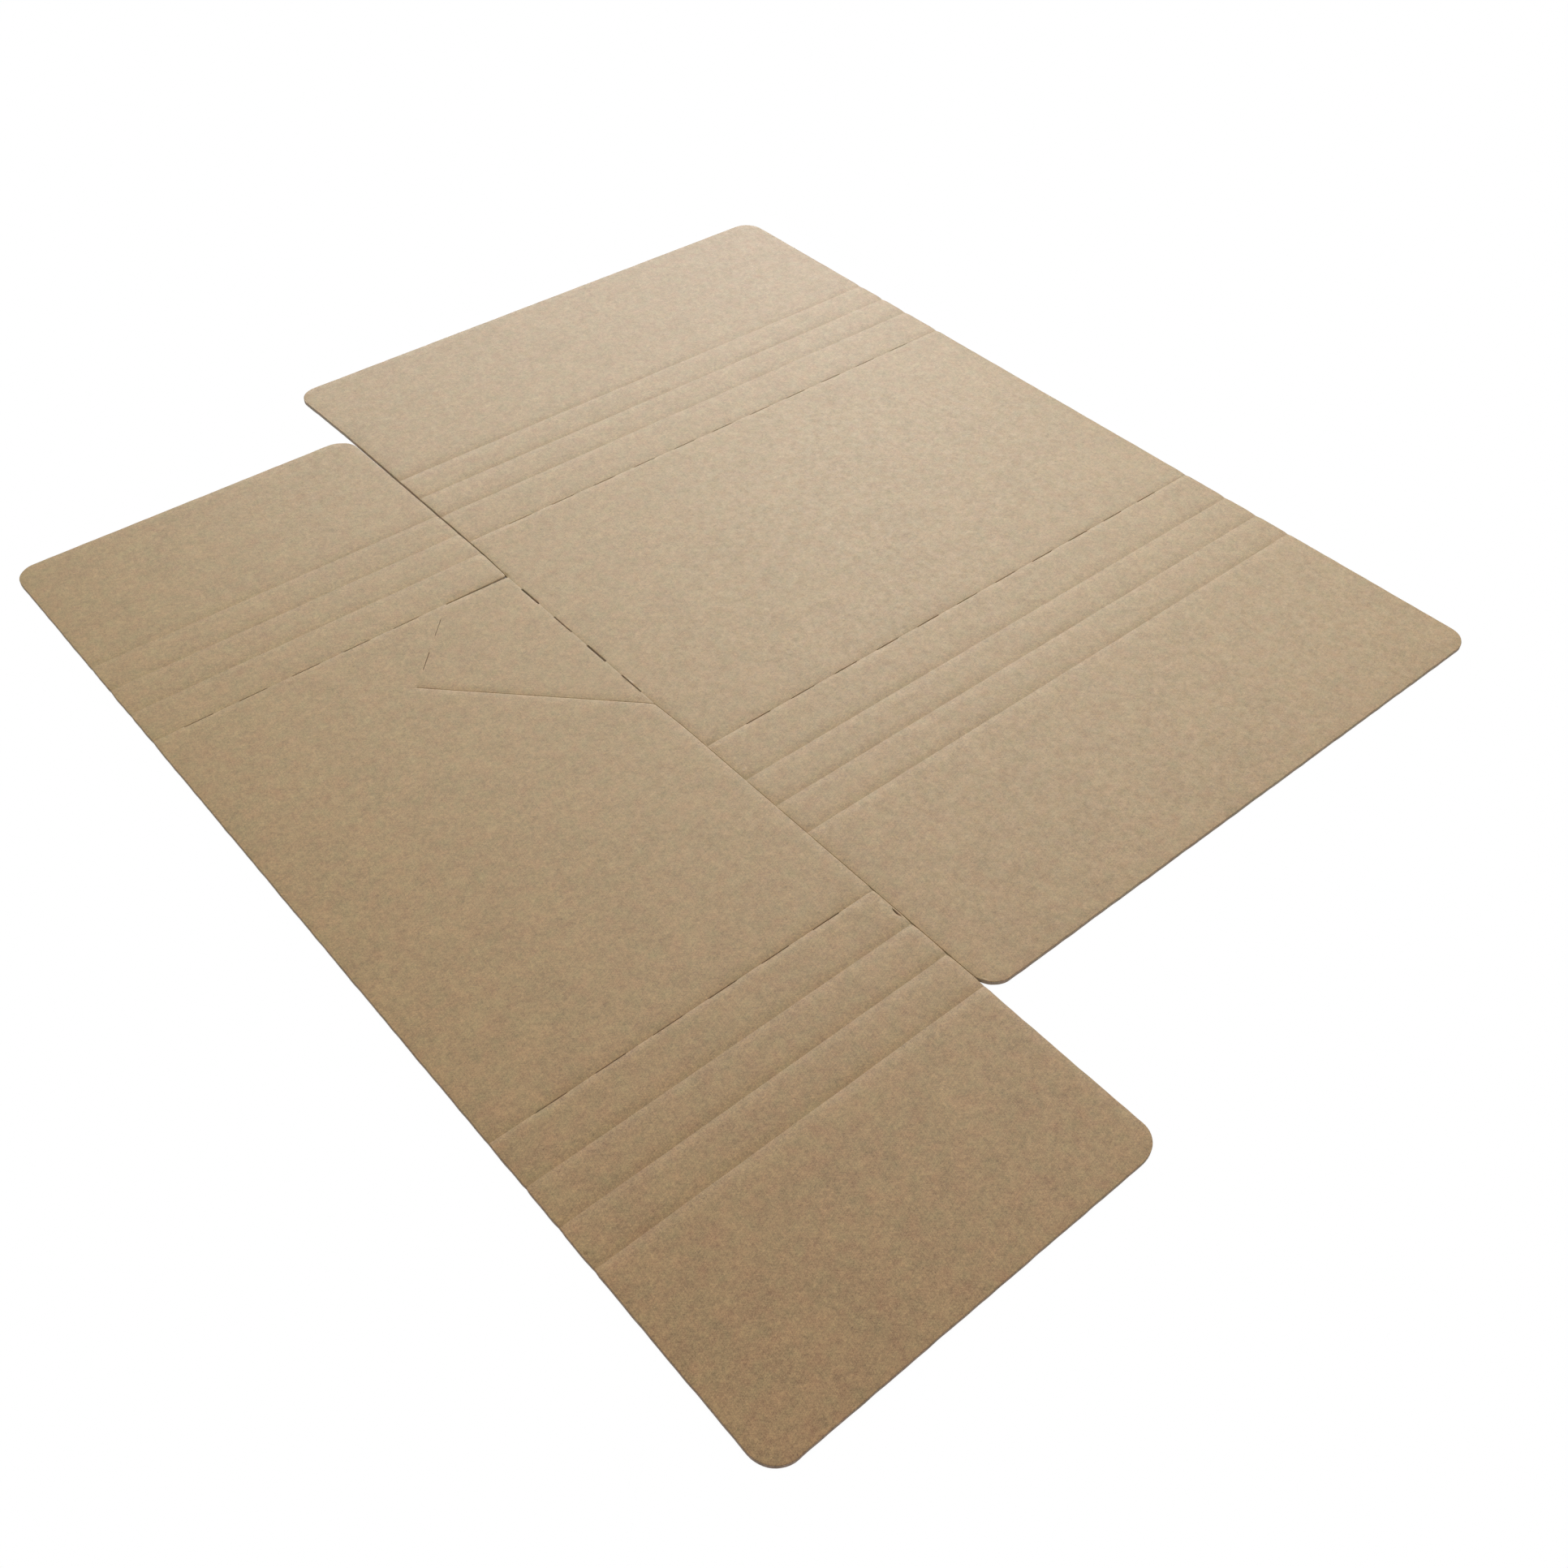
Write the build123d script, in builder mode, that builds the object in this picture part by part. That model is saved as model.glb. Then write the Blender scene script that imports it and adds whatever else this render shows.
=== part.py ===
"""Flattened wrap mailer: one die-cut blank of thin corrugated board, lying flat.

A narrow and a wide strip lie side by side with a knife cut between them. Only a 45 degree tab
joins them: it is cut out of the narrow strip, hinged to the wide one and creased back to the
narrow one, so that the narrow strip can turn a quarter turn and cross the wide one. Each strip
has a main panel between two cut-crease fold lines, and past each of them plain creases that set
how thick the wrapped goods may be, and an end flap.

Sizes are in millimetres. Sketch coordinates start at the tab corner, where the narrow strip's
upper fold meets the common line: x to the right, y up the sheet. The finished blank has its
origin at the middle of the box around it, on its underside.
"""
from build123d import *
import math
import os

# board and outline
board_thickness = 1.5
corner_radius = 8.5

# the knife presses the top liner down at every cut edge
edge_bevel = 0.3

# wide strip
wide_width = 245.0
wide_main = 142.5
wide_first_step = 20.0
wide_end_flap = 80.0

# narrow strip, its width taken to the common line
narrow_width = 137.5
narrow_main = 197.5
narrow_first_step = 17.0
narrow_end_flap = 67.5

# the wide strip's upper fold lies this far above the narrow strip's
fold_offset = 25.5

# plain creases past each fold
crease_step = 15.0
creases_per_flap = 3

# section of a crease: soft shoulders that sink to a pressed line
shoulder_width = 4.5
shoulder_drop = 0.16
rule_width = 0.8
crease_depth = 0.15
fold_depth = 0.3
tab_line_depth = 0.25

# knife cuts between the strips and round the tab
kerf = 0.25
upper_cut_opening = 0.9
tab_slit = 25.5
tab_slit_opening = 0.95
tab_fold = 45.0
tab_angle = 45.0
tab_corner_radius = 1.0
tab_root_radius = 2.0

# cut-crease pattern of the folds
cut_width = 0.45
fold_cut = 10.3
fold_cut_pitch = 19.8
wide_upper_land = 18.3
wide_lower_land = 17.5
narrow_upper_land = 11.0
narrow_lower_land = 14.8
hinge_cut = 10.8
hinge_cut_pitch = 20.2
hinge_land = 10.2
tab_fold_cut = 8.9
tab_fold_cut_pitch = 17.8
tab_fold_land = 9.2
least_end_land = 6.0

# torn nick beside the lower cut, below the narrow strip's lower fold
nick_below_fold = 10.6
nick_length = 4.3
nick_inset = 0.6
nick_bow = 0.6
nick_gap = 0.45

# heights up the sheet
crease_span = crease_step * (creases_per_flap - 1)
wide_reach = wide_first_step + crease_span + wide_end_flap
narrow_reach = narrow_first_step + crease_span + narrow_end_flap
wide_upper_fold = fold_offset
wide_lower_fold = wide_upper_fold - wide_main
wide_top = wide_upper_fold + wide_reach
wide_bottom = wide_lower_fold - wide_reach
narrow_upper_fold = 0.0
narrow_lower_fold = narrow_upper_fold - narrow_main
narrow_top = narrow_upper_fold + narrow_reach
narrow_bottom = narrow_lower_fold - narrow_reach

# corners of the tab: slit end, inner corner, and where the inner slit meets the common line
slope = math.tan(math.radians(tab_angle))
slit_end = Vector(-tab_slit, 0)
tab_point = slit_end + Vector(-tab_fold, 0).rotate(Axis.Z, tab_angle)
tab_root = tab_point.Y + tab_point.X / slope
inner_end = tab_point + Vector(kerf, 0).rotate(Axis.Z, tab_angle)
slit_rise = kerf / math.sin(math.radians(tab_angle))

# the middle of the box around the blank becomes the origin
box_middle = Vector(
    (wide_width - narrow_width) / 2,
    (max(wide_top, narrow_top) + min(wide_bottom, narrow_bottom)) / 2,
)
sheet_plane = Plane(origin=(-box_middle.X, -box_middle.Y, 0))

# round edge of the crease rule, from the width and depth that it presses
rule_radius = ((rule_width / 2) ** 2 + tab_line_depth**2) / (2 * tab_line_depth)


def line_depths(upper_fold, lower_fold, first_step):
    """Heights of a strip's fold and crease lines, lowest first, each with its pressed depth."""
    lines = [(upper_fold, fold_depth), (lower_fold, fold_depth)]
    for number in range(creases_per_flap):
        reach = first_step + number * crease_step
        lines.append((upper_fold + reach, crease_depth))
        lines.append((lower_fold - reach, crease_depth))
    return sorted(lines)


def strip_section(lines, bottom, top):
    """Side view of a strip: flat underside, and a top that sinks softly to every pressed line."""
    at = (bottom, board_thickness)
    half_rule = rule_width / 2
    for height, depth in lines:
        shoulder = (height - shoulder_width, board_thickness)
        rule_start = (height - half_rule, board_thickness - shoulder_drop)
        rule_floor = (height, board_thickness - shoulder_drop - depth)
        rule_end = (height + half_rule, board_thickness - shoulder_drop)
        Line(at, shoulder)
        TangentArc(shoulder, rule_start, tangent=(1, 0))
        ThreePointArc(rule_start, rule_floor, rule_end)
        at = (height + shoulder_width, board_thickness)
        TangentArc(at, rule_end, tangent=(-1, 0))
    Polyline(at, (top, board_thickness), (top, 0), (bottom, 0), (bottom, board_thickness))


def cut_middles(length, first_land, cut, pitch):
    """Middles of the cuts along a line, as many as leave the least land at its far end."""
    count = math.floor((length - first_land - least_end_land - cut) / pitch) + 1
    return [first_land + cut / 2 + number * pitch for number in range(count)]


# each strip: left side, width, heights of its folds, first step and ends
strips = [
    (-narrow_width, narrow_width - kerf, narrow_upper_fold, narrow_lower_fold, narrow_first_step,
     narrow_bottom, narrow_top),
    (0.0, wide_width, wide_upper_fold, wide_lower_fold, wide_first_step, wide_bottom, wide_top),
]

# each cut-crease line: start, direction in degrees, and the middles of its cuts
fold_lines = [
    ((-narrow_width, narrow_upper_fold, 0), 0,
     cut_middles(narrow_width - tab_slit, narrow_upper_land, fold_cut, fold_cut_pitch), fold_cut),
    ((-narrow_width, narrow_lower_fold, 0), 0,
     cut_middles(narrow_width, narrow_lower_land, fold_cut, fold_cut_pitch), fold_cut),
    ((0, wide_upper_fold, 0), 0,
     cut_middles(wide_width, wide_upper_land, fold_cut, fold_cut_pitch), fold_cut),
    ((0, wide_lower_fold, 0), 0,
     cut_middles(wide_width, wide_lower_land, fold_cut, fold_cut_pitch), fold_cut),
    ((0, 0, 0), -90, cut_middles(-tab_root, hinge_land, hinge_cut, hinge_cut_pitch), hinge_cut),
    (tuple(slit_end), 180 + tab_angle,
     cut_middles(tab_fold, tab_fold_land, tab_fold_cut, tab_fold_cut_pitch), tab_fold_cut),
]

# outline of the die: two rounded strips a knife cut apart, joined at the tab's hinge
with BuildPart() as die_cut:
    with BuildSketch(sheet_plane) as outline:
        for left, width, _, _, _, bottom, top in strips:
            with Locations((left + width / 2, (bottom + top) / 2)):
                RectangleRounded(width, top - bottom, corner_radius)
        root_corner = Vector(-kerf, tab_root + kerf / slope)
        with Locations((-kerf, 0)):
            Rectangle(kerf, -root_corner.Y, align=(Align.MIN, Align.MAX))
        with BuildLine():
            Polyline((-kerf, 0), (-upper_cut_opening, narrow_top), (-kerf, narrow_top), close=True)
        make_face(mode=Mode.SUBTRACT)
        with BuildLine():
            Polyline(slit_end, (0, 0), (0, -tab_slit_opening), (slit_end.X, -kerf), close=True)
        make_face(mode=Mode.SUBTRACT)
        with BuildLine():
            Polyline(tab_point, (0, tab_root), (0, tab_root + slit_rise), inner_end, close=True)
        make_face(mode=Mode.SUBTRACT)
        fillet(outline.vertices().sort_by_distance((-kerf, 0))[0], tab_corner_radius)
        fillet(outline.vertices().sort_by_distance(root_corner)[0], tab_root_radius)
    extrude(amount=board_thickness)
    chamfer(die_cut.faces().sort_by(Axis.Z)[-1].edges(), edge_bevel)

with BuildPart() as blank:
    # strips with their pressed lines, cut to the die's outline; each section runs a knife cut
    # past its strip, so that the two meet at the tab's hinge
    for left, width, upper_fold, lower_fold, first_step, bottom, top in strips:
        side = Plane(origin=(left - box_middle.X, -box_middle.Y, 0), x_dir=(0, 1, 0), z_dir=(1, 0, 0))
        with BuildSketch(side):
            with BuildLine():
                strip_section(line_depths(upper_fold, lower_fold, first_step), bottom, top)
            make_face()
        extrude(amount=width + kerf)
    add(die_cut.part, mode=Mode.INTERSECT)

    # pressed lines of the tab: its hinge and its slanted fold
    for start, end in ((Vector(0, 0), Vector(0, tab_root)), (slit_end, tab_point)):
        foot = start - box_middle
        line = end - start
        with BuildSketch(Plane(origin=(foot.X, foot.Y, board_thickness), x_dir=(0, 0, 1), z_dir=line)):
            with Locations((rule_radius - tab_line_depth, 0)):
                Circle(rule_radius)
        extrude(amount=line.length, mode=Mode.SUBTRACT)

    # through cuts of the folds
    with BuildSketch(sheet_plane):
        for start, direction, middles, cut in fold_lines:
            with Locations(Location(start, (0, 0, direction))):
                with Locations(*[(middle, 0) for middle in middles]):
                    Rectangle(cut, cut_width)
    extrude(amount=board_thickness, mode=Mode.SUBTRACT)

    # torn nick: a bowed slit that leaves a thin sliver on the narrow strip's edge
    nick_middle = narrow_lower_fold - nick_below_fold
    nick_side = -kerf - nick_inset
    nick_ends = [(nick_side, nick_middle + nick_length / 2), (nick_side, nick_middle - nick_length / 2)]
    with BuildSketch(sheet_plane):
        with BuildLine():
            ThreePointArc(nick_ends[0], (nick_side - nick_bow, nick_middle), nick_ends[1])
            ThreePointArc(nick_ends[1], (nick_side - nick_bow + nick_gap, nick_middle), nick_ends[0])
        make_face()
    extrude(amount=board_thickness, mode=Mode.SUBTRACT)

blank.part.label = "blank"
os.makedirs("parts", exist_ok=True)
export_step(blank.part, "parts/blank.step")
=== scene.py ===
"""Flattened wrap mailer: one die-cut blank of kraft board, lying flat with its creased face up.

The blank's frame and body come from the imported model. This file gives it its surface: a mesh with
soft pressed lines and rolled knife edges, the kraft finish, and the plain studio around it.
Sizes are in millimetres, as on the die's drawing, and become metres where a mesh is made. Places
on the sheet are drawn from the tab corner, where the narrow strip's upper fold meets the common
line: x to the right, y up the sheet. Only the studio's lamps, floor and camera are in metres.
"""
from __future__ import annotations

import logging
import math
from dataclasses import dataclass, field
from enum import Enum

import bpy
import numpy as np
from mathutils import Matrix, Quaternion, Vector
from mathutils.geometry import delaunay_2d_cdt


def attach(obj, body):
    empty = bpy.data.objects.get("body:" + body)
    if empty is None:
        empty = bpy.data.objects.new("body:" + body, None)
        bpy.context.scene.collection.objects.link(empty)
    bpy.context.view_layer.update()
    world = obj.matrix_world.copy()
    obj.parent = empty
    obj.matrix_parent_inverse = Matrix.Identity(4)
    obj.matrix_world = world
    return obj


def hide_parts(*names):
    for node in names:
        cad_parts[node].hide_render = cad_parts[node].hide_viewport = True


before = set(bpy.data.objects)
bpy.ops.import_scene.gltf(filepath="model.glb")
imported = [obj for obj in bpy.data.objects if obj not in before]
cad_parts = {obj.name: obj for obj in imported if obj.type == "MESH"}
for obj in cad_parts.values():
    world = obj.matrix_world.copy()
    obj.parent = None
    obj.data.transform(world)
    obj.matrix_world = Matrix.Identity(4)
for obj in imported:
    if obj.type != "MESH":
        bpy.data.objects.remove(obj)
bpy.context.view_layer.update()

log = logging.getLogger("wrap_mailer")
MILLIMETRE = 0.001
# a noise pattern strays about a quarter from its mean, so four times it strays about one
NOISE_SPAN = 4.0
# points of a drawing that lie closer than this, in millimetres, are one
SAME_POINT = 1e-5
Points = np.ndarray
Socket = bpy.types.NodeSocket
Value = Socket | float | str | tuple | bpy.types.ID


class NodePad:
    """Adds nodes to one tree and joins them, so that a tree reads like a formula."""

    def __init__(self, tree: bpy.types.NodeTree) -> None:
        """Takes the tree that the nodes go into."""
        self.tree = tree

    def feed(self, socket: Socket, value: Value) -> None:
        """Joins a socket to an input, or sets the input's own value.

        Args:
            socket: the input.
            value: another node's socket, or a plain value.
        """
        if isinstance(value, Socket):
            self.tree.links.new(value, socket)
        else:
            socket.default_value = value

    def add(self, kind: str, settings: dict[str, Value] | None = None, **inputs: Value) -> bpy.types.Node:
        """Adds a node.

        Args:
            kind: the node's type name.
            settings: the node's own properties, by name.
            inputs: values or sockets, by the input's name with underscores for spaces.
        Returns:
            The new node.
        """
        node = self.tree.nodes.new(kind)
        for name, value in (settings or {}).items():
            setattr(node, name, value)
        for name, value in inputs.items():
            self.feed(node.inputs[name.replace("_", " ")], value)
        return node

    def math(self, operation: str, *values: Value, clamp: bool = False) -> Socket:
        """Adds a Math node.

        Args:
            operation: what the node does.
            values: up to three numbers or sockets.
            clamp: keeps the result between 0 and 1.
        Returns:
            The result's socket.
        """
        node = self.add("ShaderNodeMath", {"operation": operation, "use_clamp": clamp})
        for socket, value in zip(node.inputs, values):
            self.feed(socket, value)
        return node.outputs[0]

    def vector(self, operation: str, *values: Value, scale: Value | None = None) -> Socket:
        """Adds a Vector Math node.

        Args:
            operation: what the node does.
            values: up to two vectors or sockets.
            scale: the factor of a SCALE.
        Returns:
            The socket of its vector, or of its number for a dot product.
        """
        node = self.add("ShaderNodeVectorMath", {"operation": operation})
        for socket, value in zip(node.inputs, values):
            self.feed(socket, value)
        if scale is not None:
            self.feed(node.inputs["Scale"], scale)
        return node.outputs["Value" if operation == "DOT_PRODUCT" else "Vector"]


class ShapeTree:
    """A Geometry Nodes tree with named inputs for its sizes."""

    def __init__(self, name: str) -> None:
        """Makes an empty tree with a geometry input and output."""
        self.tree = bpy.data.node_groups.new(name, "GeometryNodeTree")
        self.pad = NodePad(self.tree)
        self.socket("Geometry", "NodeSocketGeometry")
        self.tree.interface.new_socket("Geometry", in_out="OUTPUT", socket_type="NodeSocketGeometry")
        self.source = self.pad.add("NodeGroupInput")
        self.result = self.pad.add("NodeGroupOutput")

    def socket(self, name: str, kind: str) -> None:
        """Adds a named input to the tree."""
        self.tree.interface.new_socket(name, in_out="INPUT", socket_type=kind)

    def number(self, name: str) -> Socket:
        """Gives a named number, as an input that is added when it is first asked for.

        Args:
            name: the input's name.
        Returns:
            Its socket inside the tree.
        """
        if name not in self.source.outputs:
            self.socket(name, "NodeSocketFloat")
        return self.source.outputs[name]

    def count(self, name: str) -> Socket:
        """Adds a named whole number, and returns its socket inside the tree."""
        self.socket(name, "NodeSocketInt")
        return self.source.outputs[name]

    def lines(self, name: str) -> Socket:
        """Adds a named input for a drawn set of lines.

        Args:
            name: the input's name.
        Returns:
            The socket of the lines' geometry.
        """
        self.socket(name, "NodeSocketObject")
        info = self.pad.add("GeometryNodeObjectInfo", Object=self.source.outputs[name])
        return info.outputs["Geometry"]

    def finish(self, shape: Socket, material: bpy.types.Material) -> Socket:
        """Ends a shape with Realize Instances and Set Material.

        Args:
            shape: the shape's geometry.
            material: what it is dressed with.
        Returns:
            The socket of the finished geometry.
        """
        real = self.pad.add("GeometryNodeRealizeInstances", Geometry=shape)
        dressed = self.pad.add("GeometryNodeSetMaterial", Geometry=real.outputs[0], Material=material)
        return dressed.outputs[0]

    def plain_mesh(self, mesh: bpy.types.Mesh, values: dict[str, Value]) -> bpy.types.Mesh:
        """Runs the tree on a mesh.

        Args:
            mesh: the mesh that the tree starts from.
            values: what each named input gets.
        Returns:
            The result as a plain mesh, with no modifier left.
        """
        carrier = bpy.data.objects.new("carrier", mesh)
        bpy.context.scene.collection.objects.link(carrier)
        modifier = carrier.modifiers.new("shape", "NODES")
        modifier.node_group = self.tree
        for item in self.tree.interface.items_tree:
            if item.item_type == "SOCKET" and item.in_out == "INPUT" and item.name in values:
                modifier[item.identifier] = values[item.name]
        depsgraph = bpy.context.evaluated_depsgraph_get()
        depsgraph.update()
        result = bpy.data.meshes.new_from_object(carrier.evaluated_get(depsgraph))
        carrier.modifiers.remove(modifier)
        bpy.data.objects.remove(carrier)
        return result


class DrawnLines:
    """A drawn set of lines that a tree measures from, each with the sizes that it carries."""

    def __init__(self, shape: ShapeTree, name: str) -> None:
        """Adds the named drawing to the tree, and the distance from its nearest line."""
        self.pad = shape.pad
        self.drawn = shape.lines(name)
        near = self.pad.add("GeometryNodeProximity", {"target_element": "EDGES"})
        self.pad.feed(near.inputs[0], self.drawn)
        self.away = near.outputs["Distance"]

    def size(self, name: str) -> Socket:
        """Reads a size that the nearest line carries.

        Args:
            name: the size's name.
        Returns:
            The size's socket, in metres.
        """
        nearest = self.pad.add("GeometryNodeSampleNearest", {"domain": "EDGE"})
        self.pad.feed(nearest.inputs[0], self.drawn)
        carried = self.pad.add("GeometryNodeInputNamedAttribute", {"data_type": "FLOAT"}, Name=name)
        sample = self.pad.add("GeometryNodeSampleIndex", {"data_type": "FLOAT", "domain": "EDGE"},
                              Geometry=self.drawn, Value=carried.outputs[0], Index=nearest.outputs[0])
        return sample.outputs[0]

    def fall(self, reach: Socket, depth: Socket) -> Socket:
        """Adds a fall that starts softly at its reach and is full and steepest at the line."""
        rest = self.pad.math("SUBTRACT", 1.0, self.pad.math("DIVIDE", self.away, reach), clamp=True)
        return self.pad.math("MULTIPLY", self.pad.math("MULTIPLY", rest, rest), depth)


@dataclass(frozen=True)
class KraftFinish:
    """Uncoated brown kraft liner: clouded and fibrous, matt with a faint sheen."""

    name: str = "kraft_liner"
    base: tuple[float, float, float] = (0.4225, 0.2852, 0.1322)
    roughness: float = 0.478
    specular_level: float = 0.44
    cloud_size: float = 14.0
    cloud_strength: float = 0.055
    mottle_size: float = 2.4
    mottle_strength: float = 0.075
    fibre_length: float = 1.6
    fibre_width: float = 0.4
    fibre_turns: tuple[float, float, float] = (15.0, -40.0, 80.0)
    fibre_bend: float = 0.5
    fibre_strength: float = 0.15
    grain_size: float = 0.3
    grain_strength: float = 0.19
    tint_size: float = 4.5
    tint_strength: float = 0.05
    tint_lean: tuple[float, float, float] = (1.0, -0.7, -0.3)
    cloud_shift: float = 40.0
    mottle_shift: float = 90.0
    grain_shift: float = 210.0
    tint_shift: float = 160.0
    layer_strength: float = 0.6
    frontwards: tuple[float, float, float] = (-0.55, -0.84, 0.0)
    front_gain: float = 0.0007
    # painted shade: the colour ramps and bows along frontwards, darker and browner towards the front,
    # where the lamps light the board less
    painted_shade_slope: tuple[float, float, float] = (1.3e-4, -0.2e-4, -1.5e-4)
    painted_shade_bow: tuple[float, float, float] = (-9.6e-7, -14e-7, -9e-7)
    fleck_spacing: float = 11.0
    fleck_radius: float = 0.3
    fleck_darkness: float = 0.25
    polish: float = 0.2
    bump_height: float = 0.012

    def noise(self, pad: NodePad, place: Socket, size: float, shift: float, detail: float = 2.0) -> Socket:
        """Adds a noise pattern.

        Args:
            pad: where the nodes go.
            place: position in millimetres.
            size: size of a patch, in millimetres.
            shift: moves the pattern, so that no two are alike.
            detail: how many finer layers lie over it.
        Returns:
            The pattern, about 0 at its mean.
        """
        moved = pad.vector("ADD", place, (shift, 2 * shift, 0))
        node = pad.add("ShaderNodeTexNoise", Vector=moved, Scale=1 / size, Detail=detail,
                       Roughness=self.layer_strength)
        return pad.math("SUBTRACT", node.outputs[0], 0.5)

    def fibres(self, pad: NodePad, place: Socket, turn: float) -> Socket:
        """Adds one layer of fibres that lie about one way.

        Args:
            pad: where the nodes go.
            place: position in millimetres.
            turn: the way that they lie, in degrees.
        Returns:
            The pattern, about 0 at its mean.
        """
        laid = pad.add("ShaderNodeMapping", {"vector_type": "TEXTURE"}, Vector=place,
                       Rotation=(0, 0, math.radians(turn)), Scale=(self.fibre_length, self.fibre_width, 1))
        node = pad.add("ShaderNodeTexNoise", Vector=laid.outputs[0], Scale=1.0, Detail=2.0,
                       Roughness=self.layer_strength, Distortion=self.fibre_bend)
        return pad.math("SUBTRACT", node.outputs[0], 0.5)

    def brightness(self, pad: NodePad, place: Socket, ahead: Socket, fibres: Socket,
                   mottle: Socket) -> Socket:
        """Adds up the patterns that make the board lighter and darker.

        Args:
            pad: where the nodes go.
            place: position in millimetres.
            ahead: how far a point lies towards the front.
            fibres: the pattern of fibres.
            mottle: the pattern of small patches.
        Returns:
            The socket of the brightness, about 1 at its mean.
        """
        change: Value = 0.0
        for pattern, strength in (
            (self.noise(pad, place, self.cloud_size, self.cloud_shift), self.cloud_strength),
            (mottle, self.mottle_strength),
            (fibres, self.fibre_strength),
            (self.noise(pad, place, self.grain_size, self.grain_shift, 1.0), self.grain_strength),
        ):
            change = pad.math("MULTIPLY_ADD", pattern, NOISE_SPAN * strength, change)
        gain = pad.math("MULTIPLY_ADD", ahead, self.front_gain, 1.0)
        level = pad.math("MULTIPLY_ADD", change, gain, 1.0)
        cells = pad.add("ShaderNodeTexVoronoi", Vector=place, Scale=1 / self.fleck_spacing, Randomness=1.0)
        reach = pad.math("MULTIPLY", cells.outputs["Distance"], self.fleck_spacing / self.fleck_radius)
        fleck = pad.math("SUBTRACT", 1.0, reach, clamp=True)
        return pad.math("MULTIPLY_ADD", fleck, -self.fleck_darkness, level)

    def colour(self, pad: NodePad, place: Socket, ahead: Socket, level: Socket) -> Socket:
        """Colours the board: its base at each brightness, with a faint tint and painted shade, a ramp and
        bow of colour that makes it darker and browner towards the front.

        Args:
            pad: where the nodes go.
            place: position in millimetres.
            ahead: how far a point lies towards the front.
            level: the brightness.
        Returns:
            The socket of the colour.
        """
        pattern = self.noise(pad, place, self.tint_size, self.tint_shift, 4.0)
        tint = pad.math("MULTIPLY", pattern, NOISE_SPAN * self.tint_strength)
        channels = pad.add("ShaderNodeCombineColor")
        for socket, value, lean, slope, bow in zip(
            channels.inputs, self.base, self.tint_lean, self.painted_shade_slope, self.painted_shade_bow
        ):
            # painted shade: a ramp and a bow of colour along the way to the front, darker and browner
            # there
            painted_shade = pad.math("MULTIPLY", pad.math("MULTIPLY_ADD", ahead, bow, slope), ahead)
            leaned = pad.math("MULTIPLY_ADD", tint, lean, pad.math("ADD", painted_shade, level))
            pad.feed(socket, pad.math("MULTIPLY", leaned, value))
        return channels.outputs[0]

    def material(self) -> bpy.types.Material:
        """Builds the node material.

        Returns:
            The material.
        """
        material = bpy.data.materials.new(self.name)
        material.use_nodes = True
        pad = NodePad(material.node_tree)
        shader = material.node_tree.nodes["Principled BSDF"]
        here = pad.add("ShaderNodeTexCoord").outputs["Object"]
        place = pad.vector("SCALE", here, scale=1 / MILLIMETRE)
        ahead = pad.vector("DOT_PRODUCT", place, self.frontwards)

        first, second, third = (self.fibres(pad, place, turn) for turn in self.fibre_turns)
        fibres = pad.math("ADD", pad.math("ADD", first, second), third)
        mottle = self.noise(pad, place, self.mottle_size, self.mottle_shift)
        level = self.brightness(pad, place, ahead, fibres, mottle)
        pad.feed(shader.inputs["Base Color"], self.colour(pad, place, ahead, level))
        shader.inputs["Specular IOR Level"].default_value = self.specular_level
        roughness = pad.math("MULTIPLY_ADD", mottle, -self.polish, self.roughness)
        pad.feed(shader.inputs["Roughness"], roughness)
        bump = pad.add("ShaderNodeBump", Strength=1.0, Distance=self.bump_height * MILLIMETRE,
                       Height=fibres)
        pad.feed(shader.inputs["Normal"], bump.outputs[0])
        return material


@dataclass(frozen=True)
class CutEdgeFinish(KraftFinish):
    """The same board where the knife went through: greyer and duller, and painted lighter than the liner
    so that the walls, which get less light, look only a little darker than the top.
    """

    name: str = "cut_edge"
    # partly painted light: the walls' base is set paler than the liner so that their shade reads only a
    # little darker than the top
    base: tuple[float, float, float] = (0.51, 0.41, 0.31)
    roughness: float = 0.8


@dataclass(frozen=True)
class Strip:
    """One strip of the blank: its sides, and heights up the sheet."""

    left: float
    right: float
    upper_fold: float
    lower_fold: float
    first_step: float
    crease_span: float
    end_flap: float

    @property
    def top(self) -> float:
        """Height of the strip's back end."""
        return self.upper_fold + self.first_step + self.crease_span + self.end_flap

    @property
    def bottom(self) -> float:
        """Height of the strip's front end."""
        return self.lower_fold - self.first_step - self.crease_span - self.end_flap


class LineGroup(Enum):
    """The pressed lines, by the part of the sheet that they shape."""

    NARROW = "Narrow strip lines"
    WIDE = "Wide strip lines"
    TAB = "Tab lines"


@dataclass(frozen=True)
class PressedLine:
    """A straight line pressed into the board.

    Its shoulders drop softly to it, over a reach of its own on the side towards the front, and its
    rule is pressed in below them.
    """

    start: tuple[float, float]
    end: tuple[float, float]
    shoulder: float
    depth: float
    group: LineGroup
    front_reach: float

    def form(self, origin: float) -> dict[str, float]:
        """Gives the sizes that the relief tree reads from the drawn line.

        Args:
            origin: height of the frame's origin on the drawing.
        Returns:
            The sizes by name, in millimetres.
        """
        height = self.start[1] - origin
        return {"shoulder": self.shoulder, "depth": self.depth, "height": height,
                "front_reach": self.front_reach}

    def strand(self, offset: float, step: float, overrun: float) -> Points:
        """Lays points along the line, moved sideways.

        Args:
            offset: how far to the side, in millimetres.
            step: the longest distance between two points.
            overrun: how far the strand goes past each end.
        Returns:
            An array of x, y rows.
        """
        start, end = np.array(self.start), np.array(self.end)
        length = float(np.hypot(*(end - start)))
        along = (end - start) / length
        side = np.array((-along[1], along[0]))
        count = math.ceil((length + 2 * overrun) / step) + 1
        reach = np.linspace(-overrun, length + overrun, count)
        return start + side * offset + reach[:, None] * along


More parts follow.
